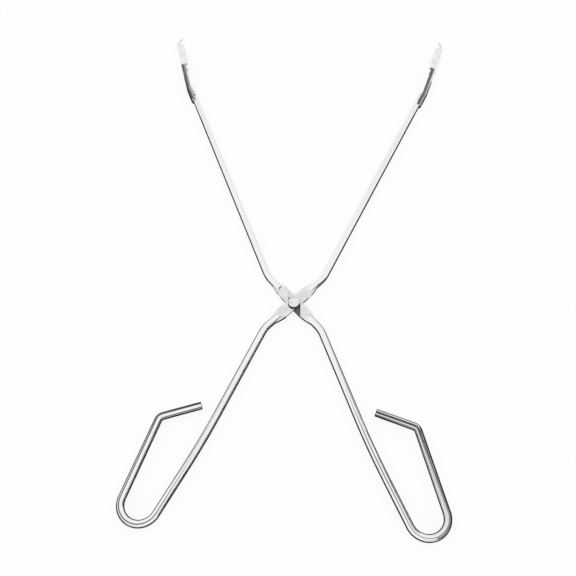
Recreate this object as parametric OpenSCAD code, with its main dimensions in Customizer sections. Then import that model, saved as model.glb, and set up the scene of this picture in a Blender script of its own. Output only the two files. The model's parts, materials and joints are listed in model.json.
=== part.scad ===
// Long-reach crucible tongs: two bent-rod arms riveted in a half-lap scissor joint,
// each with a pressed, toothed jaw welded to its tip. The tongs lie in the XY plane
// with the rivet along Z and the jaws towards +Y, and are shown fully open.

/* [Rod] */
// Diameter of the round rod that both arms are bent from
rod_d = 6; // [5:0.1:7.5]
// Chamfer on the cut end of the rod at the handle
rod_end_chamfer = 0.5; // [0.2:0.1:1]
// Radius on the rod's end inside the jaw
rod_nose_r = 1.6; // [0.8:0.1:2]

/* [Pivot plate] */
// Thickness of the flattened part of the rod
plate_t = 3; // [2.4:0.1:4]
// Width of the flattened part at the rivet
plate_w = 9.8; // [8:0.1:12]
// Distance from the rivet to the step where the rod turns round again
plate_reach = 17; // [16:0.5:20]
// Angle between the plate and the tongs' long axis when open
plate_angle = 44.2; // [42:0.5:50]
// Slope length of the step up to the round rod
step_run = 1.2; // [0.6:0.1:2]

/* [Rivet] */
// Diameter of the rivet's shank
rivet_d = 5; // [4:0.1:6]
// Diameter of the rivet's head
rivet_head_d = 9.6; // [8:0.1:12]
// Height of the rivet's head at its centre
rivet_head_h = 1.9; // [1.4:0.1:3]
// Height of the straight rim of the rivet's head
rivet_rim_h = 0.8; // [0.4:0.1:1]
// Diameter of the formed tail behind the rear arm
rivet_tail_d = 8; // [6.5:0.1:10]
// Height of the formed tail
rivet_tail_h = 1.2; // [0.8:0.1:1.4]
// Chamfer on the formed tail
rivet_tail_chamfer = 0.4; // [0.2:0.1:0.6]

/* [Fits] */
// Radial running clearance of the rivet in the front arm
run_clear = 0.05; // [0.02:0.01:0.1]
// Radial clearance of the rivet in the rear arm, which grips it
grip_clear = 0.02; // [0.01:0.01:0.04]
// Gap between the two lapped plates, and under the rivet's head
lap_gap = 0.1; // [0.06:0.01:0.3]
// Gap at the lap's side stops, open and closed
stop_gap = 0.15; // [0.1:0.01:0.4]
// Angle that the front arm turns through from open to closed
close_angle = 47.2; // [40:0.1:50]

/* [Upper arm] */
// Distance from the rivet to the elbow's start
elbow_from = 27.5; // [25.5:0.1:32]
// Bend radius of the elbow at the rod's centre
elbow_r = 28; // [16:1:40]
// Angle between the upper arm and the long axis when open
arm_angle = 23.3; // [20:0.1:28]
// Length of the upper arm, elbow to rod end
arm_len = 215; // [150:0.5:300]

/* [Handle] */
// Distance from the rivet to the low bend's start
low_bend_from = 27.3; // [25.5:0.1:34]
// Bend radius of the low bend at the rod's centre
low_bend_r = 26; // [16:1:40]
// Angle of the leg below the low bend to the long axis
leg_angle = 22.9; // [18:0.1:25]
// Straight length of the leg, low bend to the slow curve
leg_len = 73.5; // [25:0.5:90]
// Bend radius of the slow curve in the leg
slow_r = 700; // [400:10:1500]
// Angle that the slow curve adds to the leg
slow_turn = 4.1; // [1:0.1:5]
// Straight length of the leg, slow curve to the U bend
lower_leg_len = 36.5; // [20:0.5:80]
// Bend radius of the U bend at the rod's centre
u_r = 14.2; // [11:0.1:20]
// Angle turned by the U bend
u_turn = 170.5; // [165:0.5:176]
// Straight length of the outer leg, U bend to corner
outer_leg_len = 62; // [50:1:80]
// Bend radius of the tight corner at the rod's centre
corner_r = 5.5; // [4.5:0.5:9]
// Angle turned by the tight corner
corner_turn = 54; // [40:1:70]
// Length of the tail that closes the loop
tail_len = 30; // [20:0.2:34]

/* [Jaw] */
// Thickness of the jaw's sheet metal
sheet = 1.4; // [1:0.1:1.6]
// Gap between the jaw's shank and the rod that it wraps
wrap_gap = 0.1; // [0.05:0.01:0.2]
// Length of the shank that laps the rod
lap_len = 15; // [12:0.5:20]
// Depth of the shank's half-round section, outside to rim
shank_depth = 4.2; // [3.6:0.1:4.4]
// Length of the neck between the rod's end and the toothed head
neck_len = 30.7; // [20:0.1:40]
// Angle that the neck turns in from the arm
neck_angle = 6.5; // [4:0.5:9]
// How much thinner the neck is than the shank, on each face
neck_step = 0.15; // [0.1:0.01:0.2]
// Further angle that the toothed head turns in from the neck
head_angle = 0.9; // [0.5:0.1:4]
// Depth of the toothed head, back to tooth tips
head_depth = 7.2; // [6:0.1:9]
// Height of the toothed head over both flanges
head_h = 8.6; // [7.6:0.1:8.9]
// Length of each flange before its first tooth
plain_len = 4.9; // [2:0.1:8]
// Number of teeth on each flange
teeth = 6; // [4:1:8]
// Spacing of the teeth
tooth_pitch = 3.5; // [3:0.1:4.3]
// Depth of the teeth
tooth_depth = 1.3; // [0.8:0.1:1.8]
// Outside radius of the hooked tip
hook_r = 17.5; // [10:0.5:20]
// Angle turned by the hooked tip
hook_turn = 49; // [35:1:60]
// Height of the hooked tip at its point
point_h = 1.6; // [1:0.1:3]

/* [Weld] */
// Length of the weld run along each rim of the shank
weld_len = 9; // [5:0.5:10]
// Radius of the weld beads
weld_r = 1; // [0.8:0.1:1.1]
// Angle that the end weld wraps round the rod
weld_wrap = 110; // [60:5:140]

/* [Hidden] */
$fn = 96;
rod_r = rod_d / 2;
half_t = plate_t / 2;
over = 1; // how far a cutter runs past what it cuts
bend_swell = 0.02; // a bend's section is this much thicker, as pressed bends are
bend_lap = 0.2;

// The plate is straight-sided near the rivet, and its sides then curve in to the rod
plate_flat = 9;
plate_side_r = 45;
plate_root_w = 0.7 * rod_d; // its width where it ends inside the rod
plate_root = plate_flat + sqrt(plate_side_r * (plate_w - plate_root_w));
plate_steps = 12;
function plate_half(x) = plate_w / 2 - pow(max(0, x - plate_flat), 2) / (2 * plate_side_r);

// Each run is [length, bend radius, bend angle]: the rod goes straight for the length,
// then bends left by the angle, or right where the angle is negative
arm_runs = [[elbow_from, elbow_r, plate_angle - arm_angle], [arm_len - rod_nose_r, 0, 0]];
handle_runs = [
    [low_bend_from, low_bend_r, plate_angle - leg_angle],
    [leg_len, slow_r, -slow_turn],
    [lower_leg_len, u_r, -u_turn],
    [outer_leg_len, corner_r, -corner_turn],
    [tail_len - rod_end_chamfer, 0, 0]];

// A pose is [x, y, heading]; these follow the runs from the rivet
function ahead(pose, run) = pose + run[0] * [cos(pose[2]), sin(pose[2]), 0];
function turn_centre(pose, run) =
    pose + sign(run[2]) * run[1] * [-sin(pose[2]), cos(pose[2]), 0];
function past(pose, run) =
    let (start = ahead(pose, run), c = turn_centre(start, run), h = pose[2] + run[2])
    [c[0] + sign(run[2]) * run[1] * sin(h), c[1] - sign(run[2]) * run[1] * cos(h), h];
function walk(pose, runs, n) = n == 0 ? pose : past(walk(pose, runs, n - 1), runs[n - 1]);

// Headings of the front arm's plate, towards its jaw and towards its handle
jaw_heading = 90 - plate_angle;
handle_heading = 270 - plate_angle;
rod_tip = ahead(walk([0, 0, jaw_heading], arm_runs, len(arm_runs)), [rod_nose_r, 0, 0]);

// Jaw: the sheet wraps the outer side of the rod, on its right when facing the tip
wrap_in_r = rod_r + wrap_gap;
wrap_out_r = wrap_in_r + sheet;
rim_y = shank_depth - wrap_out_r;
neck_overlap = 0.8 * neck_step / sin(neck_angle); // the neck starts this far back, in the shank's wall
head_len = plain_len + (teeth - 0.5) * tooth_pitch; // to the last tooth's tip
flange_nose = 4.5; // how far each flange runs on past the tip of its last tooth
neck_start = ahead(rod_tip, [-rod_nose_r, 0, 0]) + [0, 0, neck_angle];
head_start = ahead(neck_start, [neck_len, 0, 0]);
head_pose = head_start + [wrap_out_r * sin(head_start[2]), -wrap_out_r * cos(head_start[2]),
                          head_angle];
hook_end = past(ahead(head_pose, [head_len, 0, 0]), [0, hook_r, hook_turn]);

// The origin is the centre of the tongs' box, so the rivet lies behind it
u_centre = let (at = ahead(walk([0, 0, handle_heading], handle_runs, 2), handle_runs[2]))
    turn_centre(at, handle_runs[2]);
pivot_y = -(hook_end[1] + u_centre[1] - u_r - rod_r - bend_swell) / 2;

// ---- bent rod ----

module at(pose) { translate([pose[0], pose[1], 0]) rotate([0, 0, pose[2]]) children(); }

module along_x(length, r1, r2) { rotate([0, 90, 0]) cylinder(h = length, r1 = r1, r2 = r2); }

// One bend of the rod, starting at the origin and heading along +X
module bend(radius, angle) {
    translate([0, sign(angle) * radius, 0]) rotate([0, 0, angle > 0 ? -90 : 90 + angle])
        rotate_extrude(angle = abs(angle)) translate([radius, 0]) circle(r = rod_r + bend_swell);
}

// Straight runs reach a little way into the bends beside them. The last run ends in
// its children.
module bent_rod(start, runs) {
    for (i = [0 : len(runs) - 1]) {
        bent = runs[i][1] > 0;
        before = i > 0 ? bend_lap : 0;
        after = bent ? bend_lap : 0;
        at(walk(start, runs, i)) {
            translate([-before, 0, 0]) along_x(runs[i][0] + before + after, rod_r, rod_r);
            translate([runs[i][0], 0, 0]) {
                if (bent) bend(runs[i][1], runs[i][2]);
                else children();
            }
        }
    }
}

// Rounded end of the rod, from the origin along +X
module rod_nose() {
    rotate([0, 90, 0]) rotate_extrude() intersection() {
        union() {
            square([rod_r - rod_nose_r, rod_nose_r]);
            translate([rod_r - rod_nose_r, 0]) circle(r = rod_nose_r);
        }
        square([rod_r, rod_nose_r]);
    }
}

// ---- pivot plate, along X in its own frame ----

module plate_outline() {
    side = [for (i = [0 : plate_steps])
        let (x = plate_flat + (plate_root - plate_flat) * i / plate_steps) [x, plate_half(x)]];
    upper = concat([for (p = side) p], [for (i = [plate_steps : -1 : 0]) [side[i][0], -side[i][1]]]);
    polygon(concat(upper, [for (p = upper) -p]));
}

// What the press flattens above the plate, with round sloping ends
module press_cut() {
    die_r = rod_r + over;
    reach = plate_reach - die_r;
    rise = rod_r - half_t;
    translate([0, 0, half_t]) {
        for (s = [-1, 1]) translate([s * reach, 0, 0])
            cylinder(h = rise * 2, r1 = die_r, r2 = die_r + step_run * 2);
        translate([-reach, -die_r, 0]) cube([2 * reach, 2 * die_r, rise * 2]);
    }
}

// Room for the other arm's plate from open to closed, on the underside
module lap_recess() {
    open = 2 * plate_angle;
    closed = open - close_angle;
    reach = plate_reach - over;
    width = plate_w + 2 * stop_gap;
    translate([0, 0, -half_t - over]) linear_extrude(half_t + over + lap_gap / 2) {
        for (a = [open, closed]) rotate([0, 0, a]) square([2 * reach, width], center = true);
        for (s = [-1, 1])
            polygon([[0, 0], for (a = [closed, (open + closed) / 2, open])
                s * reach * [cos(a), sin(a)]]);
    }
}

// The front arm about its rivet; turned over about Y it is the rear arm
module arm(bore_r) {
    difference() {
        union() {
            bent_rod([0, 0, jaw_heading], arm_runs) rod_nose();
            bent_rod([0, 0, handle_heading], handle_runs)
                along_x(rod_end_chamfer, rod_r, rod_r - rod_end_chamfer);
            at([0, 0, jaw_heading]) linear_extrude(plate_t, center = true) plate_outline();
        }
        at([0, 0, jaw_heading]) {
            press_cut();
            mirror([0, 0, 1]) press_cut();
            lap_recess();
            cylinder(h = rod_d, r = bore_r, center = true);
        }
    }
}

// ---- jaw, about the rivet like its arm ----

// A half-round channel along +X, open towards +Y, its wall thinned on each face
module half_tube(length, thinned) {
    in_r = wrap_in_r + thinned;
    out_r = wrap_out_r - thinned;
    difference() {
        along_x(length, out_r, out_r);
        translate([-over, 0, 0]) along_x(length + 2 * over, in_r, in_r);
        translate([-over, rim_y - thinned, -out_r - over])
            cube([length + 2 * over, 2 * out_r, 2 * (out_r + over)]);
    }
}

// One toothed flange, its back on the X axis
module flange_outline() {
    root = head_depth - tooth_depth;
    polygon([[0, 0], [0, root],
        for (i = [0 : teeth - 1]) each [
            [plain_len + (i + 0.15) * tooth_pitch, root],
            [plain_len + (i + 0.5) * tooth_pitch, head_depth],
            [plain_len + (i + 0.85) * tooth_pitch, root]],
        [head_len + flange_nose, sheet], [head_len, 0]]);
}

module toothed_head() {
    for (s = [-1, 1]) translate([0, 0, s * (head_h - sheet) / 2])
        linear_extrude(sheet, center = true) flange_outline();
    translate([0, 0, -head_h / 2]) cube([head_len, sheet, head_h]);
}

// The back of the head runs on as a hook that narrows to its point
module hook() {
    reach = hook_r * sin(hook_turn);
    intersection() {
        translate([head_len, hook_r, 0]) rotate([0, 0, -90]) rotate_extrude(angle = hook_turn)
            translate([hook_r - sheet, -head_h / 2]) square([sheet, head_h]);
        translate([head_len, hook_r, 0]) rotate([90, 0, 0])
            linear_extrude(4 * hook_r, center = true)
                polygon([[-over, -head_h / 2], [0, -head_h / 2], [reach, -point_h / 2],
                         [reach, point_h / 2], [0, head_h / 2], [-over, head_h / 2]]);
    }
}

module jaw() {
    at(ahead(rod_tip, [-lap_len, 0, 0])) half_tube(lap_len - rod_nose_r, 0);
    at(ahead(neck_start, [-neck_overlap, 0, 0])) half_tube(neck_len + neck_overlap, neck_step);
    at(head_pose) {
        toothed_head();
        hook();
    }
}

// ---- welds between a jaw's shank and its rod ----

module welds() {
    seam_z = sqrt(pow(rod_r, 2) - pow(rim_y, 2)) + weld_r / 3;
    at(ahead(rod_tip, [-lap_len, 0, 0])) {
        // A bead along each rim
        for (s = [-1, 1]) difference() {
            translate([(lap_len - weld_len) / 2 - weld_r, rim_y, s * seam_z]) {
                along_x(weld_len, weld_r, weld_r);
                sphere(r = weld_r);
                translate([weld_len, 0, 0]) sphere(r = weld_r);
            }
            translate([-over, 0, 0]) along_x(lap_len, rod_r, rod_r);
            translate([-over, rim_y - 2 * weld_r, -2 * wrap_out_r])
                cube([lap_len + over, 2 * weld_r, 4 * wrap_out_r]);
        }
        // A bead round the rod at the shank's end
        difference() {
            rotate([0, 90, 0]) rotate([0, 0, -90 - weld_wrap / 2])
                rotate_extrude(angle = weld_wrap) translate([rod_r + weld_r / 2, 0]) circle(r = weld_r);
            translate([-2 * over, 0, 0]) along_x(lap_len, rod_r, rod_r);
            translate([0, -2 * wrap_out_r, -2 * wrap_out_r])
                cube([2 * over, 4 * wrap_out_r, 4 * wrap_out_r]);
        }
    }
}

// ---- nodes ----

module front() { translate([0, pivot_y, 0]) children(); }

module rear() { translate([0, pivot_y, 0]) rotate([0, 180, 0]) children(); }

module front_arm() { color([0.84, 0.85, 0.86]) front() arm(rivet_d / 2 + run_clear); }

module rear_arm() { color([0.84, 0.85, 0.86]) rear() arm(rivet_d / 2 + grip_clear); }

module front_jaw() { color([0.86, 0.87, 0.88]) front() jaw(); }

module rear_jaw() { color([0.86, 0.87, 0.88]) rear() jaw(); }

module front_jaw_welds() { color([0.5, 0.5, 0.52]) front() welds(); }

module rear_jaw_welds() { color([0.5, 0.5, 0.52]) rear() welds(); }

module pivot_rivet() {
    head_r = rivet_head_d / 2;
    dome = rivet_head_h - rivet_rim_h;
    dome_r = (pow(head_r, 2) + pow(dome, 2)) / (2 * dome);
    color([0.8, 0.81, 0.82]) front() {
        // Shank
        translate([0, 0, -half_t]) cylinder(h = plate_t + lap_gap, r = rivet_d / 2);
        // Low domed head on the front arm
        translate([0, 0, half_t + lap_gap]) intersection() {
            cylinder(h = rivet_head_h, r = head_r);
            translate([0, 0, rivet_head_h - dome_r]) sphere(r = dome_r);
        }
        // Formed tail behind the rear arm
        translate([0, 0, -half_t - rivet_tail_h]) {
            cylinder(h = rivet_tail_chamfer, r1 = rivet_tail_d / 2 - rivet_tail_chamfer,
                     r2 = rivet_tail_d / 2);
            translate([0, 0, rivet_tail_chamfer])
                cylinder(h = rivet_tail_h - rivet_tail_chamfer, r = rivet_tail_d / 2);
        }
    }
}

rear_arm();
front_arm();
pivot_rivet();
rear_jaw();
front_jaw();
rear_jaw_welds();
front_jaw_welds();
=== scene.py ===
import bpy
import bmesh
import json
import math
from mathutils import Matrix, Vector
from mathutils.kdtree import KDTree


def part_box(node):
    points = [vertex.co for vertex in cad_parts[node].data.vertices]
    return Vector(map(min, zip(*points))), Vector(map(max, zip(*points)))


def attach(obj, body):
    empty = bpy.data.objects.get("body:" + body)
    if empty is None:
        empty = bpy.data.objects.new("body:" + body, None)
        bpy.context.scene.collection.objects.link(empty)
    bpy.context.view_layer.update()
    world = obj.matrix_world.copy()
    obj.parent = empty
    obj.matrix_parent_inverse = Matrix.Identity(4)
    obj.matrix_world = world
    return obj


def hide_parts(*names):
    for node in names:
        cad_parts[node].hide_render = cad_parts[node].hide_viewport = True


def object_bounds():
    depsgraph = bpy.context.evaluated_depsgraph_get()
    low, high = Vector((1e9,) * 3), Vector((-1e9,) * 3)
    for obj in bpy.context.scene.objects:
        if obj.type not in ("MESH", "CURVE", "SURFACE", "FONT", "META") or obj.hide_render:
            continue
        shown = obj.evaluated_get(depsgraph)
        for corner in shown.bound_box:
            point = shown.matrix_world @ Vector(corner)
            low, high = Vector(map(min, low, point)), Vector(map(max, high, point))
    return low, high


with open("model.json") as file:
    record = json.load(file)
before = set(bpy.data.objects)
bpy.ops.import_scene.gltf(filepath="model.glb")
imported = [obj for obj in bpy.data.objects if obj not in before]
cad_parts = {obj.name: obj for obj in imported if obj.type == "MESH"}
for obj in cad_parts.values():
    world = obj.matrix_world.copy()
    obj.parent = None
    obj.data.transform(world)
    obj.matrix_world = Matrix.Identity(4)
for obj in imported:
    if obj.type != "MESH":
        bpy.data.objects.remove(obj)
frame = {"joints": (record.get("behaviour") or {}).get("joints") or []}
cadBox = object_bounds()

# places taken from the frame, metres
pivotY = frame["joints"][0]["pos_m"][1]
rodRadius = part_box("front_arm")[1].z
mm = 0.001
near = 0.01 * mm     # points closer than this are in the same place

cameraSettings = {
    "lens": 50.0,
    "sensor": 36,
    "azimuth": 6.64,     # degrees, 0 looks along +Y
    "elevation": 62.0,
    "roll": 3.99,        # degrees, turned about the line of sight
    "distance": 0.6569,
    "aimX": -0.0058,     # the point looked at, from the rivet
    "aimY": 0.0137,
}


def makeCamera():
    s = cameraSettings
    data = bpy.data.cameras.new("studioCamera")
    data.lens = s["lens"]
    data.sensor_width = s["sensor"]
    camera = bpy.data.objects.new("studioCamera", data)
    bpy.context.scene.collection.objects.link(camera)
    a, e = math.radians(s["azimuth"]), math.radians(s["elevation"])
    back = Vector((math.sin(a) * math.cos(e), -math.cos(a) * math.cos(e), math.sin(e)))
    camera.location = Vector((s["aimX"], pivotY + s["aimY"], 0)) + back * s["distance"]
    level = (-back).to_track_quat("-Z", "Y")
    camera.rotation_mode = "QUATERNION"
    camera.rotation_quaternion = level @ Matrix.Rotation(-math.radians(s["roll"]), 3, "Z").to_quaternion()
    data.clip_start, data.clip_end = 0.01, 20
    bpy.context.scene.camera = camera
    print("camera made")


# small helps for working in edit mode
def deselectAll():
    bpy.ops.object.select_all(action="DESELECT")


def takeUp(piece):
    deselectAll()
    piece.select_set(True)
    bpy.context.view_layer.objects.active = piece


def openEdit(piece, kind):
    takeUp(piece)
    bpy.ops.object.mode_set(mode="EDIT")
    bpy.ops.mesh.select_mode(type=kind)


def closeEdit():
    bpy.ops.object.mode_set(mode="OBJECT")


def choose(kind, test):
    # Selects only what has its middle where test says, in edit mode
    bpy.ops.mesh.select_mode(type=kind)
    bpy.ops.mesh.select_all(action="DESELECT")
    mesh = bmesh.from_edit_mesh(bpy.context.object.data)
    parts = {"VERT": mesh.verts, "EDGE": mesh.edges, "FACE": mesh.faces}[kind]
    for part in parts:
        middle = part.co if kind == "VERT" else sum((v.co for v in part.verts), Vector()) / len(part.verts)
        if test(middle):
            part.select_set(True)
    mesh.select_flush_mode()
    bmesh.update_edit_mesh(bpy.context.object.data)


def applyModifier(piece, kind, **values):
    takeUp(piece)
    modifier = piece.modifiers.new(kind.lower(), kind)
    for name, value in values.items():
        setattr(modifier, name, value)
    bpy.ops.object.modifier_apply(modifier=modifier.name)


def combine(piece, other, how):
    # Joins or cuts piece with other, which is used up
    applyModifier(piece, "BOOLEAN", operation=how, object=other, solver="EXACT")
    bpy.data.objects.remove(other, do_unlink=True)


def place(piece, pose):
    # Stands a piece made along +X at a pose [x, y, heading] about the rivet, in mm and degrees
    piece.matrix_world = (Matrix.Translation((pose[0] * mm, pivotY + pose[1] * mm, 0))
                          @ Matrix.Rotation(math.radians(pose[2]), 4, "Z") @ piece.matrix_world)
    takeUp(piece)
    bpy.ops.object.transform_apply(location=True, rotation=True, scale=True)


def turnOver(piece, name):
    # The rear side's copy of a front piece, with its own mesh
    copy = piece.copy()
    copy.data = piece.data.copy()
    copy.name = name
    bpy.context.scene.collection.objects.link(copy)
    copy.matrix_world = Matrix.Rotation(math.pi, 4, "Y") @ copy.matrix_world
    takeUp(copy)
    bpy.ops.object.transform_apply(location=True, rotation=True, scale=True)
    return copy


def ahead(pose, length):
    h = math.radians(pose[2])
    return (pose[0] + length * math.cos(h), pose[1] + length * math.sin(h), pose[2])


def turnCentre(pose, radius, turn):
    h, side = math.radians(pose[2]), math.copysign(radius, turn)
    return (pose[0] - side * math.sin(h), pose[1] + side * math.cos(h))


def bentBy(pose, radius, turn):
    cx, cy = turnCentre(pose, radius, turn)
    h, side = math.radians(pose[2] + turn), math.copysign(radius, turn)
    return (cx + side * math.sin(h), cy - side * math.cos(h), pose[2] + turn)


metalSettings = {
    "chrome": (0.88, 0.885, 0.89, 1),
    "chromeDull": (0.70, 0.705, 0.715, 1),
    # near-black streak colour: partly drawing marks, partly painted reflection
    "streak": (0.09, 0.09, 0.095, 1),
    "satin": (0.80, 0.80, 0.80, 1),
    "satinDull": (0.66, 0.66, 0.665, 1),
    # weld scorch with painted dark reflection on the jaws; the pale one also marks the lap's painted shade
    "scorched": (0.09, 0.088, 0.086, 1),
    "scorchedPale": (0.22, 0.215, 0.21, 1),
    # near-black colour for painted shade, round the rivet and in the lap
    "worn": (0.10, 0.098, 0.095, 1),
    "grimeDown": 0.0016,         # the painted shadow's middle, from the rivet towards the handles
    "grimeReach": 0.0046,
    "grimeFade": 0.0007,
    "greaseFrom": 0.004,         # the lap's painted shade lightens past here, from the rivet towards the jaws
    "greaseTo": 0.0055,
    "greaseWiped": 0.85,
    "footFrom": 0.0008,          # the painted shade below the rivet's head, up from the middle of the tongs
    "footTo": 0.0022,
    "footFade": 0.0004,
    "streaksFrom": -0.13,        # full streaks on the handles up to here, along the rod
    "streaksTo": -0.03,          # and few past here
    "streaksOnArms": 0.12,
    "scorchLength": 0.0435,      # along the jaw from the start of its shank
    "scorchFade": 0.0015,
    "scorchSideFade": 0.0007,
    "weld": (0.70, 0.69, 0.68, 1),
    "weldBurnt": (0.07, 0.068, 0.065, 1),
}


def newMetal(name):
    metal = bpy.data.materials.new(name)
    metal.use_nodes = True
    shader = metal.node_tree.nodes["Principled BSDF"]
    shader.inputs["Metallic"].default_value = 1
    return metal, metal.node_tree.nodes, metal.node_tree.links, shader


def pattern(nodes, links, where, stretch, detail=4, rough=0.55):
    # Noise on a coordinate, stretched by the three scales
    mapping = nodes.new("ShaderNodeMapping")
    mapping.inputs["Scale"].default_value = stretch
    links.new(where, mapping.inputs["Vector"])
    noise = nodes.new("ShaderNodeTexNoise")
    noise.inputs["Scale"].default_value = 1
    noise.inputs["Detail"].default_value = detail
    noise.inputs["Roughness"].default_value = rough
    links.new(mapping.outputs["Vector"], noise.inputs["Vector"])
    return noise.outputs["Fac"]


def span(nodes, links, value, low, high, first, last):
    # Carries a value from one range to another, held at the ends
    node = nodes.new("ShaderNodeMapRange")
    node.inputs["From Min"].default_value = low
    node.inputs["From Max"].default_value = high
    node.inputs["To Min"].default_value = first
    node.inputs["To Max"].default_value = last
    links.new(value, node.inputs["Value"])
    return node.outputs["Result"]


def blend(nodes, links, share, first, second):
    mix = nodes.new("ShaderNodeMix")
    mix.data_type = "RGBA"
    links.new(share, mix.inputs["Factor"])
    for socket, colour in ((mix.inputs["A"], first), (mix.inputs["B"], second)):
        if isinstance(colour, tuple):
            socket.default_value = colour
        else:
            links.new(colour, socket)
    return mix.outputs["Result"]


def raised(nodes, links, shader, heights):
    # Bumps from a list of (height, distance in metres)
    normal = None
    for height, distance in heights:
        bump = nodes.new("ShaderNodeBump")
        bump.inputs["Strength"].default_value = 1
        bump.inputs["Distance"].default_value = distance
        links.new(height, bump.inputs["Height"])
        if normal:
            links.new(normal, bump.inputs["Normal"])
        normal = bump.outputs["Normal"]
    links.new(normal, shader.inputs["Normal"])


def drawnPlace(nodes):
    node = nodes.new("ShaderNodeAttribute")
    node.attribute_name = "drawn"
    return node.outputs["Vector"]


def objectPlace(nodes):
    return nodes.new("ShaderNodeTexCoord").outputs["Object"]


def makeRodChrome():
    # Bright plating over drawn rod: dark streaks run along it, partly drawing marks and partly painted
    # reflection of dark lines, stronger on the handles
    metal, nodes, links, shader = newMetal("rodChrome")
    where = drawnPlace(nodes)
    streaks = pattern(nodes, links, where, (4, 950, 950), 1)
    fine = pattern(nodes, links, where, (60, 3800, 3800), 2)
    cloud = pattern(nodes, links, where, (70, 160, 160), 4)
    run = nodes.new("ShaderNodeSeparateXYZ")
    links.new(where, run.inputs["Vector"])
    s = metalSettings
    handle = span(nodes, links, run.outputs["X"], s["streaksFrom"], s["streaksTo"], 1, s["streaksOnArms"])
    shade = nodes.new("ShaderNodeMath")
    shade.operation = "MULTIPLY"
    links.new(span(nodes, links, streaks, 0.51, 0.57, 0, 1), shade.inputs[0])
    links.new(handle, shade.inputs[1])
    links.new(blend(nodes, links, shade.outputs[0], s["chrome"], s["streak"]), shader.inputs["Base Color"])
    links.new(span(nodes, links, cloud, 0.35, 0.7, 0.04, 0.11), shader.inputs["Roughness"])
    raised(nodes, links, shader, [(fine, 0.000006), (cloud, 0.00004)])
    return metal


def makePlateSatin():
    # The pressed flats: a dull, finely pitted face
    metal, nodes, links, shader = newMetal("plateSatin")
    where = drawnPlace(nodes)
    grain = pattern(nodes, links, where, (2600, 3400, 3400), 3)
    blotch = pattern(nodes, links, where, (260, 420, 420), 4)
    steel = blend(nodes, links, span(nodes, links, blotch, 0.4, 0.68, 0, 1), metalSettings["satin"],
                  metalSettings["satinDull"])
    # painted contact shadow, partly grime, against the rivet's head on the handles' side: the plate is
    # darkened there
    centred = nodes.new("ShaderNodeMapping")
    centred.inputs["Location"].default_value = (0, -pivotY + metalSettings["grimeDown"], 0)
    centred.inputs["Scale"].default_value = (1, 1, 0)
    links.new(objectPlace(nodes), centred.inputs["Vector"])
    away = nodes.new("ShaderNodeVectorMath")
    away.operation = "LENGTH"
    links.new(centred.outputs["Vector"], away.inputs[0])
    reach = metalSettings["grimeReach"]
    rivetShadowed = span(nodes, links, away.outputs["Value"], reach, reach + metalSettings["grimeFade"], 1, 0)
    links.new(blend(nodes, links, rivetShadowed, steel, metalSettings["worn"]), shader.inputs["Base Color"])
    links.new(span(nodes, links, blotch, 0.3, 0.7, 0.26, 0.38), shader.inputs["Roughness"])
    raised(nodes, links, shader, [(grain, 0.00003), (blotch, 0.00006)])
    return metal


def makeJawChrome(name, outerShare, innerShare, edge):
    # Plated sheet, darkened over the shank and neck by weld scorch and a painted dark reflection; the
    # painted darkness changes from outerShare to innerShare past an edge, in mm across from the rod's
    # centre
    s = metalSettings
    metal, nodes, links, shader = newMetal(name)
    where = drawnPlace(nodes)
    run = nodes.new("ShaderNodeSeparateXYZ")
    links.new(where, run.inputs["Vector"])
    cloud = pattern(nodes, links, where, (160, 300, 300), 4)
    fine = pattern(nodes, links, where, (300, 2800, 2800), 3)
    base = blend(nodes, links, span(nodes, links, cloud, 0.4, 0.7, 0, 1), metalSettings["chrome"],
                 metalSettings["chromeDull"])
    scorchShadeColour = blend(nodes, links, span(nodes, links, fine, 0.35, 0.7, 0, 1), metalSettings["scorched"],
                  metalSettings["scorchedPale"])
    scorchShadeEnd = s["scorchLength"] + s["scorchFade"]
    scorchShadeAlong = span(nodes, links, run.outputs["X"], s["scorchLength"], scorchShadeEnd, 1, 0)
    outer, inner = edge * mm - s["scorchSideFade"] / 2, edge * mm + s["scorchSideFade"] / 2
    inside = span(nodes, links, run.outputs["Y"], outer, inner, outerShare, innerShare)
    dark = nodes.new("ShaderNodeMath")
    dark.operation = "MULTIPLY"
    links.new(scorchShadeAlong, dark.inputs[0])
    links.new(inside, dark.inputs[1])
    links.new(blend(nodes, links, dark.outputs[0], base, scorchShadeColour), shader.inputs["Base Color"])
    links.new(span(nodes, links, cloud, 0.3, 0.7, 0.10, 0.24), shader.inputs["Roughness"])
    raised(nodes, links, shader, [(fine, 0.00001), (cloud, 0.00006)])
    return metal


def makeLapSteel():
    # The faces that rub in the lap: bare steel, darkened with painted shade of the recess
    metal, nodes, links, shader = newMetal("lapSteel")
    where = drawnPlace(nodes)
    blotch = pattern(nodes, links, where, (700, 700, 700), 4)
    height = nodes.new("ShaderNodeSeparateXYZ")
    links.new(objectPlace(nodes), height.inputs["Vector"])
    lapShadeColour = blend(nodes, links, span(nodes, links, blotch, 0.4, 0.7, 0, 1), metalSettings["worn"],
                   metalSettings["scorchedPale"])
    # the painted shade stays dark towards the handles and lightens towards the jaws
    lapShadeLifting = span(nodes, links, height.outputs["Y"], pivotY + metalSettings["greaseFrom"],
                 pivotY + metalSettings["greaseTo"], 0, metalSettings["greaseWiped"])
    links.new(blend(nodes, links, lapShadeLifting, lapShadeColour, metalSettings["satin"]), shader.inputs["Base Color"])
    links.new(span(nodes, links, blotch, 0.3, 0.7, 0.35, 0.5), shader.inputs["Roughness"])
    raised(nodes, links, shader, [(blotch, 0.00005)])
    return metal


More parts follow.
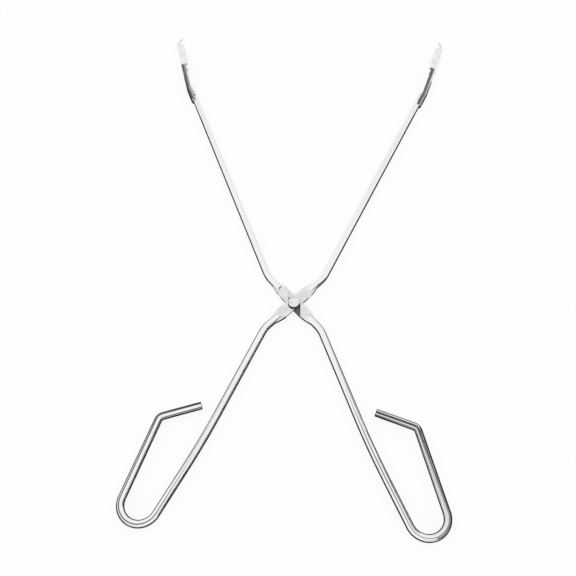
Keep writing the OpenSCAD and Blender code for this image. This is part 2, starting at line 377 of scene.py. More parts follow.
def makeRivetSteel():
    # Plain steel, bruised by the hammer
    metal, nodes, links, shader = newMetal("rivetSteel")
    where = objectPlace(nodes)
    blotch = pattern(nodes, links, where, (520, 520, 520), 4)
    grain = pattern(nodes, links, where, (2600, 2600, 2600), 3)
    height = nodes.new("ShaderNodeSeparateXYZ")
    links.new(where, height.inputs["Vector"])
    steel = blend(nodes, links, span(nodes, links, blotch, 0.4, 0.68, 0, 1), metalSettings["chrome"],
                  metalSettings["satinDull"])
    # painted shade darkens the foot of the head
    s = metalSettings
    low, high = s["footFrom"], s["footTo"]
    under = nodes.new("ShaderNodeMath")
    under.operation = "MULTIPLY"
    links.new(span(nodes, links, height.outputs["Z"], high, high + s["footFade"], 1, 0), under.inputs[0])
    links.new(span(nodes, links, height.outputs["Z"], low, low + s["footFade"], 0, 1), under.inputs[1])
    links.new(blend(nodes, links, under.outputs[0], steel, s["worn"]), shader.inputs["Base Color"])
    links.new(span(nodes, links, blotch, 0.3, 0.7, 0.2, 0.34), shader.inputs["Roughness"])
    raised(nodes, links, shader, [(grain, 0.00003), (blotch, 0.0001)])
    return metal


def makeWeldMetal():
    # Oxidised bead
    metal, nodes, links, shader = newMetal("weldMetal")
    where = objectPlace(nodes)
    blotch = pattern(nodes, links, where, (700, 700, 700), 4)
    grain = pattern(nodes, links, where, (3000, 3000, 3000), 3)
    links.new(blend(nodes, links, span(nodes, links, blotch, 0.50, 0.58, 0, 1), metalSettings["weld"],
                    metalSettings["weldBurnt"]), shader.inputs["Base Color"])
    links.new(span(nodes, links, blotch, 0.3, 0.7, 0.3, 0.5), shader.inputs["Roughness"])
    raised(nodes, links, shader, [(grain, 0.00004)])
    return metal


def finishWith(piece, metal):
    piece.data.materials.clear()
    piece.data.materials.append(metal)


rodChrome = makeRodChrome()
plateSatin = makePlateSatin()
# the front and rear jaws take their painted shade on different sides
frontJawChrome = makeJawChrome("frontJawChrome", 0.12, 1, -3.0)
rearJawChrome = makeJawChrome("rearJawChrome", 1, 0.6, -1.8)
lapSteel = makeLapSteel()
rivetSteel = makeRivetSteel()
weldMetal = makeWeldMetal()


armSettings = {
    "sides": 48,
    "bendStep": 3.0,             # most degrees between rings in a bend
    "bendLongest": 6.0,          # and most millimetres
    "plateAngle": 44.2,          # the flattened plate, from the long axis
    # each run is its straight length, then a bend's radius and its turn to the left, mm and degrees
    "jawRuns": [(27.5, 28, 20.9), (213.4, 0, 0)],
    "handleRuns": [(27.3, 26, 21.3), (73.5, 700, -4.1), (36.5, 14.2, -170.5), (62, 5.5, -54), (29.5, 0, 0)],
    "noseRadius": 1.6,
    "noseStep": 15,              # degrees between the nose's rings
    "endChamfer": 0.5,
    "endShape": [(0.4, 0.1), (0.85, 0.5), (1, 1)],  # its rings: how far on and how far in, over its size
    "plateThick": 3.0,
    "plateWide": 9.8,
    "plateFlat": 9.0,            # the plate is straight-sided this far from the rivet
    "plateSideRadius": 45.0,
    "plateRoot": 0.7,            # its width where it runs out, over the rod's diameter
    "plateColumns": 24,
    "plateReach": 17.0,
    "stepRun": 1.2,
    "dieSides": 96,
    "boreRadius": 2.55,
    "boreSides": 64,
    "lapGap": 0.1,
    "stopGap": 0.15,
    "closeAngle": 47.2,
    "over": 1.0,                 # how far a cutter runs past what it cuts
    "edgeRound": 0.12,
    "roundAbove": 40,            # degrees, edges sharper than this are rounded
    "smoothBelow": 35,
    "lineStep": 0.5,             # between the points that patterns follow in a bend
    "slack": 0.1,                # how far off the plate's faces may lie
}


def endRings(pose, profile):
    # Draws the chosen ring on through rings of [distance ahead, radius] to close the rod's end
    x, y, heading = pose
    before, size = 0, rodRadius / mm
    for distance, radius in profile:
        step = ahead((0, 0, heading), distance - before)
        bpy.ops.mesh.extrude_edges_move(TRANSFORM_OT_translate={"value": (step[0] * mm, step[1] * mm, 0)})
        at = ahead(pose, distance)
        k = radius / size
        bpy.ops.transform.resize(value=(k, k, k), center_override=(at[0] * mm, at[1] * mm, 0))
        before, size = distance, radius
    bpy.ops.mesh.edge_face_add()


def drawRod(name, heading, runs, profile):
    # A rod about the rivet that follows its runs; its first end stays open
    s = armSettings
    deselectAll()
    h = math.radians(heading)
    bpy.ops.mesh.primitive_circle_add(vertices=s["sides"], radius=rodRadius, fill_type="NOTHING")
    rod = bpy.context.object
    rod.name = name
    rod.matrix_world = Matrix.Rotation(h, 4, "Z") @ Matrix.Rotation(math.pi / 2, 4, "Y")
    bpy.ops.object.transform_apply(location=True, rotation=True, scale=True)
    openEdit(rod, "EDGE")
    bpy.ops.mesh.select_all(action="SELECT")
    pose = (0, 0, heading)
    for length, radius, turn in runs:
        step = ahead((0, 0, pose[2]), length)
        bpy.ops.mesh.extrude_edges_move(TRANSFORM_OT_translate={"value": (step[0] * mm, step[1] * mm, 0)})
        pose = ahead(pose, length)
        if radius:
            cx, cy = turnCentre(pose, radius, turn)
            arc = radius * math.radians(abs(turn))
            steps = math.ceil(max(abs(turn) / s["bendStep"], arc / s["bendLongest"]))
            bpy.ops.mesh.spin(steps=steps, angle=-math.radians(turn), center=(cx * mm, cy * mm, 0),
                              axis=(0, 0, 1))
            pose = bentBy(pose, radius, turn)
    endRings(pose, profile)
    closeEdit()
    return rod, pose


def noseProfile(radius):
    r = rodRadius / mm - radius
    step = armSettings["noseStep"]
    return [(radius * math.sin(math.radians(a)), r + radius * math.cos(math.radians(a)))
            for a in range(step, 91, step)]


def makePlate():
    # The flattened stretch of rod, along X
    s = armSettings
    narrowing = s["plateWide"] - s["plateRoot"] * 2 * rodRadius / mm
    root = s["plateFlat"] + math.sqrt(s["plateSideRadius"] * narrowing)
    deselectAll()
    bpy.ops.mesh.primitive_cube_add(size=1)
    plate = bpy.context.object
    openEdit(plate, "VERT")
    bpy.ops.mesh.select_all(action="SELECT")
    bpy.ops.transform.resize(value=(2 * root * mm, s["plateWide"] * mm, s["plateThick"] * mm),
                             center_override=(0, 0, 0))
    choose("EDGE", lambda c: abs(c.x) < root * mm / 2)
    bpy.ops.mesh.subdivide(number_cuts=2 * s["plateColumns"] - 1)
    for i in range(s["plateColumns"] + 1):
        x = root * i / s["plateColumns"]
        k = 1 - max(0, x - s["plateFlat"]) ** 2 / (s["plateSideRadius"] * s["plateWide"])
        choose("VERT", lambda c: abs(abs(c.x) - x * mm) < near)
        bpy.ops.transform.resize(value=(1, k, 1), center_override=(0, 0, 0))
    closeEdit()
    return plate


def block(low, high, angle=0):
    # A plain box for cutting with, between two corners in mm, turned about Z
    deselectAll()
    bpy.ops.mesh.primitive_cube_add(size=1)
    box = bpy.context.object
    size = [(b - a) * mm for a, b in zip(low, high)]
    middle = [(a + b) / 2 * mm for a, b in zip(low, high)]
    box.matrix_world = (Matrix.Rotation(math.radians(angle), 4, "Z") @ Matrix.Translation(middle)
                        @ Matrix.Diagonal(size + [1]))
    bpy.ops.object.transform_apply(location=True, rotation=True, scale=True)
    return box


def pressFlat(arm, heading):
    # Flattens the rod into the plate, top and bottom, with round sloping ends
    s = armSettings
    half, rise = s["plateThick"] / 2, rodRadius / mm - s["plateThick"] / 2
    die = rodRadius / mm + s["over"]
    reach = s["plateReach"] - die
    for side in (1, -1):
        for end in (1, -1):
            deselectAll()
            wide = die + 2 * s["stepRun"]
            bpy.ops.mesh.primitive_cone_add(vertices=s["dieSides"], radius1=die * mm, radius2=wide * mm,
                                            depth=2 * rise * mm, location=(0, 0, (half + rise) * mm))
            cone = bpy.context.object
            cone.matrix_world = (Matrix.Rotation(math.radians(heading), 4, "Z")
                                 @ Matrix.Translation((end * reach * mm, 0, 0))
                                 @ Matrix.Rotation(0 if side > 0 else math.pi, 4, "X") @ cone.matrix_world)
            combine(arm, cone, "DIFFERENCE")
        low, high = sorted((side * half, side * (half + 2 * rise)))
        combine(arm, block((-reach, -die, low), (reach, die, high), heading), "DIFFERENCE")


def cutLap(arm, heading):
    # Room for the other arm's plate from open to closed, on the underside
    s = armSettings
    openAt = 2 * s["plateAngle"]
    closedAt = openAt - s["closeAngle"]
    reach = s["plateReach"] - s["over"]
    wide = s["plateWide"] / 2 + s["stopGap"]
    low, high = -s["plateThick"] / 2 - s["over"], s["lapGap"] / 2
    for angle in (openAt, (openAt + closedAt) / 2, closedAt):
        combine(arm, block((-reach, -wide, low), (reach, wide, high), heading + angle), "DIFFERENCE")


def drillBore(arm):
    s = armSettings
    deselectAll()
    bpy.ops.mesh.primitive_cylinder_add(vertices=s["boreSides"], radius=s["boreRadius"] * mm,
                                        depth=4 * rodRadius)
    combine(arm, bpy.context.object, "DIFFERENCE")


def centreline(start, runs, sign):
    # Points along a rod, each with its distance from the rivet and its pose
    points, run, pose = [], 0, start
    for length, radius, turn in runs:
        for i in range(math.ceil(length)):
            points.append((sign * (run + min(i, length)), ahead(pose, min(i, length))))
        run, pose = run + length, ahead(pose, length)
        if radius:
            arc = radius * math.radians(abs(turn))
            count = math.ceil(arc / armSettings["lineStep"])
            for i in range(count):
                points.append((sign * (run + arc * i / count), bentBy(pose, radius, turn * i / count)))
            run, pose = run + arc, bentBy(pose, radius, turn)
    points.append((sign * run, pose))
    return points


def writeDrawn(piece, points, side=1):
    # Stores where each point would be if the rod were straight, for patterns that follow it;
    # side is -1 on a turned copy, so that both copies carry the same pattern
    tree = KDTree(len(points))
    for i, (run, pose) in enumerate(points):
        tree.insert((pose[0] * mm, pivotY + pose[1] * mm, 0), i)
    tree.balance()
    drawn = piece.data.attributes.new("drawn", "FLOAT_VECTOR", "POINT")
    for v in piece.data.vertices:
        run, pose = points[tree.find((v.co.x, v.co.y, 0))[1]]
        h = math.radians(pose[2])
        dx, dy = v.co.x - pose[0] * mm, v.co.y - pivotY - pose[1] * mm
        along = dx * math.cos(h) + dy * math.sin(h)
        across = dy * math.cos(h) - dx * math.sin(h)
        flip = 1 if run >= 0 else -1
        drawn.data[v.index].vector = (run * mm + flip * along, side * flip * across, side * v.co.z)


def turnedOver(points):
    return [(run, (-x, y, 180 - h)) for run, (x, y, h) in points]


def makeArms():
    s = armSettings
    jawHeading, handleHeading = 90 - s["plateAngle"], 270 - s["plateAngle"]
    arm, tip = drawRod("front_rod", jawHeading, s["jawRuns"], noseProfile(s["noseRadius"]))
    r, c = rodRadius / mm, s["endChamfer"]
    handle = drawRod("handle", handleHeading, s["handleRuns"],
                     [(on * c, r - within * c) for on, within in s["endShape"]])[0]
    deselectAll()
    handle.select_set(True)
    arm.select_set(True)
    bpy.context.view_layer.objects.active = arm
    bpy.ops.object.join()
    openEdit(arm, "VERT")
    bpy.ops.mesh.select_all(action="SELECT")
    bpy.ops.mesh.remove_doubles(threshold=near / 10)
    bpy.ops.mesh.normals_make_consistent(inside=False)
    closeEdit()
    plate = makePlate()
    plate.matrix_world = Matrix.Rotation(math.radians(jawHeading), 4, "Z")
    combine(arm, plate, "UNION")
    pressFlat(arm, jawHeading)
    cutLap(arm, jawHeading)
    drillBore(arm)
    place(arm, (0, 0, 0))
    applyModifier(arm, "BEVEL", width=s["edgeRound"] * mm, segments=2, limit_method="ANGLE",
                  angle_limit=math.radians(s["roundAbove"]), use_clamp_overlap=True)
    bpy.ops.object.shade_smooth_by_angle(angle=math.radians(s["smoothBelow"]))
    rear = turnOver(arm, "rear_rod")
    points = (centreline((0, 0, jawHeading), s["jawRuns"], 1)
              + centreline((0, 0, handleHeading), s["handleRuns"], -1))
    writeDrawn(arm, points)
    writeDrawn(rear, turnedOver(points), -1)
    for piece, body, node in ((arm, "front", "front_arm"), (rear, "rear", "rear_arm")):
        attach(piece, body)
        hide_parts(node)
        finishWith(piece, rodChrome)
        piece.data.materials.append(plateSatin)
        piece.data.materials.append(lapSteel)
        for face in piece.data.polygons:
            reach = (face.center - Vector((0, pivotY, 0))).length
            height = abs(face.center.z)
            if reach < s["plateReach"] * mm and height < (s["plateThick"] / 2 + s["slack"]) * mm:
                # the lap's faces and the plate's sides get lapSteel, which paints shade
                lapped = height < s["slack"] * mm and abs(face.normal.z) > 0.9
                side = abs(face.normal.z) < 0.5
                face.material_index = 2 if lapped or side else 1
    print("arms made,", len(arm.data.polygons), "faces each")
    return ahead(tip, 0)


jawSettings = {
    "sheet": 1.4,
    "outerRadius": 4.45,         # of the half-round shank and neck
    "rim": -0.3,                 # where their rims stop, across from the rod's centre
    "arcSides": 48,              # in a full turn
    "lap": 15.0,                 # how far the shank reaches back over the rod
    "shankLength": 13.4,
    "neckLength": 30.7,
    "neckTurn": 6.5,
    "headTurn": 0.9,
    "blend": 2.2,                # the neck's last stretch, where it squares up into the head
    "height": 8.6,
    "rootDepth": 5.9,
    "toothDepth": 1.3,
    "plain": 4.9,
    "teeth": 6,
    "pitch": 3.5,
    "toothSpread": 0.35,         # from a tooth's tip to its foot, over the pitch
    "foldRadius": 1.2,
    "foldSteps": 5,
    "backCuts": (-0.6, -0.2, 0.2, 0.6),  # lines along the back, over half its flat height
    "flangeNose": 4.5,
    "flangeEnd": 0.8,            # how high a flange still is there, over the fold
    "hookRadius": 17.5,
    "hookTurn": 49.0,
    "hookSteps": 12,
    "pointHeight": 1.6,
    "edgeRound": 0.22,
    "roundAbove": 50,
    "smoothBelow": 35,
}


def makeShank():
    # A half-round strip along +X over the rod's end, then turned in along the neck
    s = jawSettings
    deselectAll()
    bpy.ops.mesh.primitive_circle_add(vertices=s["arcSides"], radius=s["outerRadius"] * mm,
                                      fill_type="NOTHING")
    shank = bpy.context.object
    shank.matrix_world = Matrix.Rotation(math.pi / 2, 4, "Y")
    bpy.ops.object.transform_apply(location=True, rotation=True, scale=True)
    openEdit(shank, "EDGE")
    bpy.ops.mesh.select_all(action="SELECT")
    bpy.ops.mesh.bisect(plane_co=(0, s["rim"] * mm, 0), plane_no=(0, 1, 0), clear_outer=True)
    bpy.ops.mesh.select_all(action="SELECT")
    bpy.ops.mesh.extrude_edges_move(TRANSFORM_OT_translate={"value": (s["shankLength"] * mm, 0, 0)})
    bpy.ops.mesh.spin(steps=2, angle=-math.radians(s["neckTurn"]), center=(s["shankLength"] * mm, 0, 0),
                      axis=(0, 0, 1))
    step = ahead((0, 0, s["neckTurn"]), s["neckLength"] - s["blend"])
    bpy.ops.mesh.extrude_edges_move(TRANSFORM_OT_translate={"value": (step[0] * mm, step[1] * mm, 0)})
    closeEdit()
    return shank


def makeHead():
    # The toothed channel along +X with its back on the X axis, and the hook it runs on into
    s = jawSettings
    half, root, tip = s["height"] / 2, s["rootDepth"], s["rootDepth"] + s["toothDepth"]
    long = s["plain"] + (s["teeth"] - 0.5) * s["pitch"]
    head = block((0, 0, -half), (long, root, half))
    openEdit(head, "EDGE")
    choose("EDGE", lambda c: c.y < near and abs(c.z) > half * mm - near and abs(c.x - long / 2 * mm) < near)
    bpy.ops.mesh.bevel(offset=s["foldRadius"] * mm, segments=s["foldSteps"], affect="EDGES")
    choose("FACE", lambda c: c.y > root * mm - near or c.x < near or c.x > long * mm - near)
    bpy.ops.mesh.delete(type="FACE")
    spread = s["toothSpread"]
    shares = (0.5 - spread, 0.5, 0.5 + spread)
    columns = [s["plain"] + (i + share) * s["pitch"] for i in range(s["teeth"]) for share in shares]
    for x in columns[:-2]:
        bpy.ops.mesh.select_all(action="SELECT")
        bpy.ops.mesh.bisect(plane_co=(x * mm, 0, 0), plane_no=(1, 0, 0))
    for z in s["backCuts"]:
        bpy.ops.mesh.select_all(action="SELECT")
        bpy.ops.mesh.bisect(plane_co=(0, 0, z * (half - s["foldRadius"]) * mm), plane_no=(0, 0, 1))
    tips = columns[1::3]
    choose("VERT", lambda c: c.y > root * mm - near and min(abs(c.x - t * mm) for t in tips) < near)
    bpy.ops.transform.translate(value=(0, s["toothDepth"] * mm, 0))
    # each flange runs on past its last tooth and down to the hook
    for side in (1, -1):
        choose("EDGE", lambda c: c.x > long * mm - near and c.z * side > half * mm - near and c.y > 2 * mm)
        bpy.ops.mesh.extrude_edges_move(TRANSFORM_OT_translate={"value": (spread * s["pitch"] * mm, 0, 0)})
        choose("VERT", lambda c: c.x > (long + 0.3) * mm and c.z * side > 0 and c.y > root * mm)
        bpy.ops.transform.translate(value=(0, -s["toothDepth"] * mm, 0))
        choose("EDGE", lambda c: c.x > (long + 1) * mm and c.z * side > 0)
        bpy.ops.mesh.extrude_edges_move(
            TRANSFORM_OT_translate={"value": ((s["flangeNose"] - spread * s["pitch"]) * mm, 0, 0)})
        choose("VERT", lambda c: c.x > (long + 4) * mm and c.z * side > 0 and c.y > 3 * mm)
        bpy.ops.transform.translate(value=(0, -(root - s["foldRadius"] - s["flangeEnd"]) * mm, 0))
        choose("VERT", lambda c: c.x > (long + 4) * mm and c.z * side > 0 and c.y < 1.5 * mm)
        bpy.ops.transform.translate(value=(0, 0.4 * mm, 0))
    # the back runs on as the hook and narrows to its point
    choose("EDGE", lambda c: abs(c.x - long * mm) < near and c.y < s["foldRadius"] * mm)
    reach = s["hookRadius"] * math.sin(math.radians(s["hookTurn"]))
    size = half
    for i in range(s["hookSteps"]):
        bpy.ops.mesh.spin(steps=1, angle=-math.radians(s["hookTurn"] / s["hookSteps"]),
                          center=(long * mm, s["hookRadius"] * mm, 0), axis=(0, 0, 1))
        share = math.sin(math.radians(s["hookTurn"] * (i + 1) / s["hookSteps"])) * s["hookRadius"] / reach
        narrowed = half + (s["pointHeight"] / 2 - half) * share
        bpy.ops.transform.resize(value=(1, 1, narrowed / size), center_override=(0, 0, 0))
        size = narrowed
    closeEdit()
    return head


def makeJaws(rodTip):
    s = jawSettings
    shank, head = makeShank(), makeHead()
    neck = ahead((s["shankLength"], 0, s["neckTurn"]), s["neckLength"])
    back = ahead((neck[0], neck[1], neck[2] - 90), s["outerRadius"])
    head.matrix_world = (Matrix.Translation((back[0] * mm, back[1] * mm, 0))
                         @ Matrix.Rotation(math.radians(s["neckTurn"] + s["headTurn"]), 4, "Z"))
    deselectAll()
    head.select_set(True)
    shank.select_set(True)
    bpy.context.view_layer.objects.active = shank
    bpy.ops.object.join()
    jaw = shank
    jaw.name = "front_jaw_sheet"
    openEdit(jaw, "EDGE")
    h = math.radians(s["neckTurn"])

    def along(c):
        return (c.x / mm - s["shankLength"]) * math.cos(h) + c.y / mm * math.sin(h)
    choose("EDGE", lambda c: abs(along(c) - s["neckLength"] + s["blend"]) < 0.02
           or abs(along(c) - s["neckLength"]) < 0.15)
    bpy.ops.mesh.bridge_edge_loops()
    bpy.ops.mesh.select_all(action="SELECT")
    bpy.ops.mesh.remove_doubles(threshold=near)
    bpy.ops.mesh.normals_make_consistent(inside=False)
    closeEdit()
    # the channel's skin faces away from its open side
    lowest = min(jaw.data.polygons, key=lambda f: f.center.y)
    if lowest.normal.y > 0:
        openEdit(jaw, "FACE")
        bpy.ops.mesh.select_all(action="SELECT")
        bpy.ops.mesh.flip_normals()
        closeEdit()
    applyModifier(jaw, "SOLIDIFY", thickness=s["sheet"] * mm, offset=-1, use_even_offset=True)
    applyModifier(jaw, "BEVEL", width=s["edgeRound"] * mm, segments=2, limit_method="ANGLE",
                  angle_limit=math.radians(s["roundAbove"]), use_clamp_overlap=True)
    bpy.ops.object.shade_smooth_by_angle(angle=math.radians(s["smoothBelow"]))
    start = ahead(rodTip, -s["lap"])
    place(jaw, start)
    rear = turnOver(jaw, "rear_jaw_sheet")
    line = centreline(start, [(s["shankLength"], 0.5, s["neckTurn"]), (s["neckLength"], 0.5, s["headTurn"]),
                              (s["plain"] + s["teeth"] * s["pitch"] + s["hookRadius"], 0, 0)], 1)
    writeDrawn(jaw, line)
    writeDrawn(rear, turnedOver(line), -1)
    for piece, body, node, metal in ((jaw, "front", "front_jaw", frontJawChrome),
                                     (rear, "rear", "rear_jaw", rearJawChrome)):
        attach(piece, body)
        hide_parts(node)
        finishWith(piece, metal)
    print("jaws made,", len(jaw.data.polygons), "faces each")


rivetSettings = {
    "headRadius": 4.8,
    "headHeight": 1.9,
    "rim": 0.8,
    "shankRadius": 2.5,
    "tailRadius": 4.0,
    "tailHeight": 1.2,
    "tailFace": 0.9,             # its flat end, over its radius
    "tailSlope": 0.7,            # where its side starts to lean in, over its height
    "ease": 0.15,                # small bevels
    "footEase": 0.2,
    "sides": 96,
    "rings": 14,
    "dent": 0.45,                # how deep the hammer marks are
    "dentSize": 3.2,
    "dentLevel": 0.6,
    "smoothBelow": 40,
}


def makeRivet():
    s, a = rivetSettings, armSettings
    half, gap = a["plateThick"] / 2, a["lapGap"]
    deselectAll()
    radius, z = s["tailRadius"] * s["tailFace"], -half - s["tailHeight"]
    bpy.ops.mesh.primitive_circle_add(vertices=s["sides"], radius=radius * mm, fill_type="NGON",
                                      location=(0, 0, 0))
    rivet = bpy.context.object
    rivet.name = "rivet_hammered"
    openEdit(rivet, "FACE")
    bpy.ops.mesh.select_all(action="SELECT")
    bpy.ops.transform.translate(value=(0, 0, z * mm))
    dome = s["headHeight"] - s["rim"]
    domeRadius = (s["headRadius"] ** 2 + dome ** 2) / (2 * dome)
    foot = half + gap
    top = foot + s["headHeight"]
    profile = [(s["tailRadius"], -half - s["tailSlope"] * s["tailHeight"]),
               (s["tailRadius"], -half - s["ease"]), (s["tailRadius"] - s["ease"], -half),
               (s["shankRadius"], -half), (s["shankRadius"], foot),
               (s["headRadius"] - s["footEase"], foot), (s["headRadius"], foot + s["footEase"]),
               (s["headRadius"], foot + s["rim"] - s["ease"])]
    for i in range(1, s["rings"]):
        r = (s["headRadius"] - 0.1) * (1 - i / s["rings"])
        profile.append((r, top - domeRadius + math.sqrt(domeRadius ** 2 - r ** 2)))
    for r, height in profile:
        bpy.ops.mesh.extrude_region_move(TRANSFORM_OT_translate={"value": (0, 0, (height - z) * mm)})
        bpy.ops.transform.resize(value=(r / radius, r / radius, 1), center_override=(0, 0, 0))
        radius, z = r, height
    bpy.ops.mesh.select_all(action="SELECT")
    bpy.ops.mesh.normals_make_consistent(inside=False)
    closeEdit()
    # hammer marks on the head
    group = rivet.vertex_groups.new(name="struck")
    struckFrom = (foot + s["rim"] - s["footEase"]) * mm
    group.add([v.index for v in rivet.data.vertices if v.co.z > struckFrom], 1, "ADD")
    marks = bpy.data.textures.new("hammerMarks", "VORONOI")
    marks.noise_scale = s["dentSize"] * mm
    marks.distance_metric = "DISTANCE"
    applyModifier(rivet, "DISPLACE", texture=marks, texture_coords="LOCAL", strength=s["dent"] * mm,
                  mid_level=s["dentLevel"], vertex_group="struck", direction="NORMAL")
    bpy.ops.object.shade_smooth_by_angle(angle=math.radians(s["smoothBelow"]))
    place(rivet, (0, 0, 0))
    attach(rivet, "rear")
    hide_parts("pivot_rivet")
    finishWith(rivet, rivetSteel)
    print("rivet made,", len(rivet.data.polygons), "faces")


weldSettings = {
    "radius": 1.0,
    "rimLength": 9.0,
    "wrap": 110.0,               # degrees round the rod
    "ripple": 0.16,              # how much each ripple swells, over the radius
    "pitch": 0.75,               # from one ripple to the next
    "stepsPerRipple": 4,
    "sides": 16,
    "smoothBelow": 50,
}


def beadSizes(length):
    # The bead's radius at even steps along it: rippled, with rounded ends
    s = weldSettings
    count = round(length / s["pitch"]) * s["stepsPerRipple"]
    sizes = []
    for i in range(count + 1):
        end = min(i, count - i) * s["pitch"] / s["stepsPerRipple"] / s["radius"]
        cap = math.sqrt(max(0.02, 1 - max(0, 1 - end) ** 2))
        phase = i % s["stepsPerRipple"] / s["stepsPerRipple"]
        sizes.append(s["radius"] * cap * (1 + s["ripple"] * (abs(2 * phase - 1) - 0.5)))
    return sizes


def startBead(size, middle, turned):
    deselectAll()
    bpy.ops.mesh.primitive_circle_add(vertices=weldSettings["sides"], radius=size * mm, fill_type="NGON")
    bead = bpy.context.object
    bead.matrix_world = Matrix.Translation([v * mm for v in middle]) @ turned
    bpy.ops.object.transform_apply(location=True, rotation=True, scale=True)
    openEdit(bead, "FACE")
    bpy.ops.mesh.select_all(action="SELECT")
    return bead


def endBead():
    bpy.ops.mesh.select_all(action="SELECT")
    bpy.ops.mesh.normals_make_consistent(inside=False)
    closeEdit()


def makeWelds(rodTip):
    s, j = weldSettings, jawSettings
    r = rodRadius / mm
    seam = math.sqrt(r ** 2 - j["rim"] ** 2) + s["radius"] / 3
    beads = []
    for side in (1, -1):
        sizes = beadSizes(s["rimLength"])
        x, z = (j["lap"] - s["rimLength"]) / 2 - s["radius"] / 2, side * seam
        bead = startBead(sizes[0], (x, j["rim"], z), Matrix.Rotation(math.pi / 2, 4, "Y"))
        step = s["pitch"] / s["stepsPerRipple"]
        for i in range(1, len(sizes)):
            bpy.ops.mesh.extrude_region_move(TRANSFORM_OT_translate={"value": (step * mm, 0, 0)})
            k = sizes[i] / sizes[i - 1]
            centre = ((x + i * step) * mm, j["rim"] * mm, z * mm)
            bpy.ops.transform.resize(value=(1, k, k), center_override=centre)
        endBead()
        beads.append(bead)
    across = r + s["radius"] / 2
    sizes = beadSizes(across * math.radians(s["wrap"]))
    first, turn = 180 - s["wrap"] / 2, s["wrap"] / (len(sizes) - 1)

    def spot(i):
        a = math.radians(first + turn * i)
        return (0, across * math.cos(a), across * math.sin(a))
    bead = startBead(sizes[0], spot(0), Matrix.Rotation(math.radians(first), 4, "X"))
    for i in range(1, len(sizes)):
        bpy.ops.mesh.spin(steps=1, angle=-math.radians(turn), center=(0, 0, 0), axis=(1, 0, 0))
        k = sizes[i] / sizes[i - 1]
        bpy.ops.transform.resize(value=(k, k, k), center_override=[v * mm for v in spot(i)])
    endBead()
    beads.append(bead)
    deselectAll()
    for bead in beads:
        bead.select_set(True)
    bpy.context.view_layer.objects.active = beads[0]
    bpy.ops.object.join()
    welds = beads[0]
    welds.name = "front_weld_beads"
    bpy.ops.object.shade_smooth_by_angle(angle=math.radians(s["smoothBelow"]))
    place(welds, ahead(rodTip, -j["lap"]))
    rear = turnOver(welds, "rear_weld_beads")
    for piece, body, node in ((welds, "front", "front_jaw_welds"), (rear, "rear", "rear_jaw_welds")):
        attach(piece, body)
        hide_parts(node)
        finishWith(piece, weldMetal)
    print("weld beads made")


studioSettings = {
    "drop": 0.0002,              # the floor, below the lowest point of the tongs
    "size": 3.0,
    "colour": 0.93,
    "shadow": 0.12,              # how much of the floor's own light the camera sees
    "dark": 0.035,
    # dark boards, out of the camera's sight: place in X, from and to in Y, bottom and top
    "boards": [(0.25, -0.36, 0.20, 0.0, 0.016), (-0.25, -0.36, 0.20, 0.0, 0.016),
               (0.19, -0.36, -0.05, 0.020, 0.065), (0.19, -0.36, -0.07, 0.085, 0.125),
               (0.19, -0.36, -0.09, 0.155, 0.185)],
    # dark mats on the floor at both sides: from and to in X at each end, from and to in Y
    "mats": [(0.012, 0.25, 0.115, 0.25, -0.045, 0.19), (0.0, 0.25, 0.0, 0.25, -0.30, -0.055)],
    "matLift": 0.0001,
}


def makeFloor():
    s = studioSettings
    deselectAll()
    bpy.ops.mesh.primitive_plane_add(size=s["size"], location=(0, 0, cadBox[0].z - s["drop"]))
    floor = bpy.context.object
    floor.name = "studioFloor"
    mat = bpy.data.materials.new("paleFloor")
    mat.use_nodes = True
    nodes, links = mat.node_tree.nodes, mat.node_tree.links
    nodes.clear()
    out = nodes.new("ShaderNodeOutputMaterial")
    paper = nodes.new("ShaderNodeBsdfDiffuse")
    paper.inputs["Color"].default_value = (s["colour"],) * 3 + (1,)
    glow = nodes.new("ShaderNodeEmission")
    seen = nodes.new("ShaderNodeLightPath")
    share = None
    for name in ("Is Camera Ray", "Is Glossy Ray", "Is Transmission Ray"):
        step = nodes.new("ShaderNodeMath")
        step.operation = "MAXIMUM"
        links.new(seen.outputs[name], step.inputs[0])
        if share:
            links.new(share, step.inputs[1])
        share = step.outputs[0]
    kept = nodes.new("ShaderNodeMath")
    kept.operation = "MULTIPLY"
    kept.inputs[1].default_value = 1 - s["shadow"]
    links.new(share, kept.inputs[0])
    mix = nodes.new("ShaderNodeMixShader")
    links.new(kept.outputs[0], mix.inputs["Fac"])
    links.new(paper.outputs[0], mix.inputs[1])
    links.new(glow.outputs[0], mix.inputs[2])
    links.new(mix.outputs[0], out.inputs["Surface"])
    floor.data.materials.append(mat)
    print("floor made")


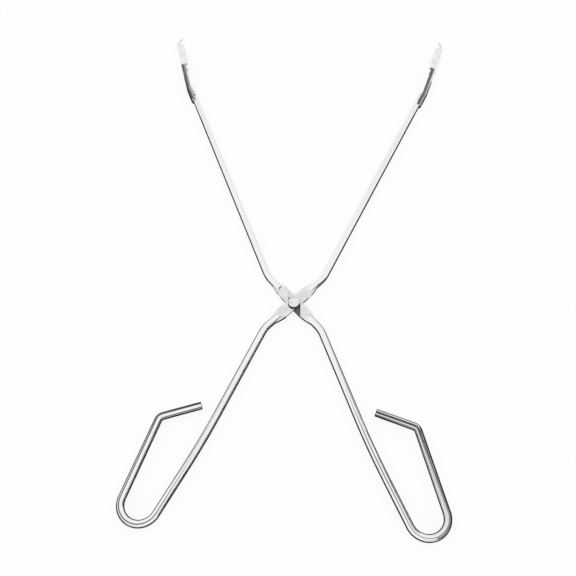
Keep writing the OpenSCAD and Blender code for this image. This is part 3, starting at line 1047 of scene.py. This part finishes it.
def makeDarks():
    # Dark boards and mats that only reflections see; they draw the dark lines along the bright rods
    s = studioSettings
    dark = bpy.data.materials.new("flagCloth")
    dark.use_nodes = True
    nodes = dark.node_tree.nodes
    nodes.clear()
    shade = nodes.new("ShaderNodeEmission")
    shade.inputs["Color"].default_value = (s["dark"],) * 3 + (1,)
    out = nodes.new("ShaderNodeOutputMaterial")
    dark.node_tree.links.new(shade.outputs[0], out.inputs["Surface"])
    foot = cadBox[0].z - s["drop"]
    sheets = []
    for x, y0, y1, z0, z1 in s["boards"]:
        sheets.append([(x, y0, foot + z0), (x, y1, foot + z0), (x, y1, foot + z1), (x, y0, foot + z1)])
    z = foot + s["matLift"]
    for near0, far0, near1, far1, y0, y1 in s["mats"]:
        for side in (1, -1):
            sheets.append([(side * near0, y0, z), (side * far0, y0, z), (side * far1, y1, z),
                           (side * near1, y1, z)])
    starts = [(-0.5, -0.5), (0.5, -0.5), (0.5, 0.5), (-0.5, 0.5)]
    for i, corners in enumerate(sheets):
        deselectAll()
        bpy.ops.mesh.primitive_plane_add(size=1, location=(0, 0, 0))
        sheet = bpy.context.object
        sheet.name = "darkSheet" + str(i + 1)
        openEdit(sheet, "VERT")
        for start, corner in zip(starts, corners):
            choose("VERT", lambda c: (c - Vector((*start, 0))).length < 0.01)
            bpy.ops.transform.translate(value=Vector(corner) - Vector((*start, 0)))
        closeEdit()
        sheet.data.materials.append(dark)
        sheet.visible_camera = False
        sheet.visible_shadow = False
        sheet.visible_diffuse = False
    print("dark boards and mats made")


def makeWorld():
    world = bpy.data.worlds.new("studioWorld")
    bpy.context.scene.world = world
    world.use_nodes = True
    world.node_tree.nodes["Background"].inputs["Color"].default_value = (1, 1, 1, 1)
    world.node_tree.nodes["Background"].inputs["Strength"].default_value = 1.0
    print("world made")


makeCamera()
makeFloor()
makeDarks()
makeWorld()
rodTip = makeArms()
makeJaws(rodTip)
makeRivet()
makeWelds(rodTip)

view = bpy.context.scene.view_settings
view.view_transform = "Standard"
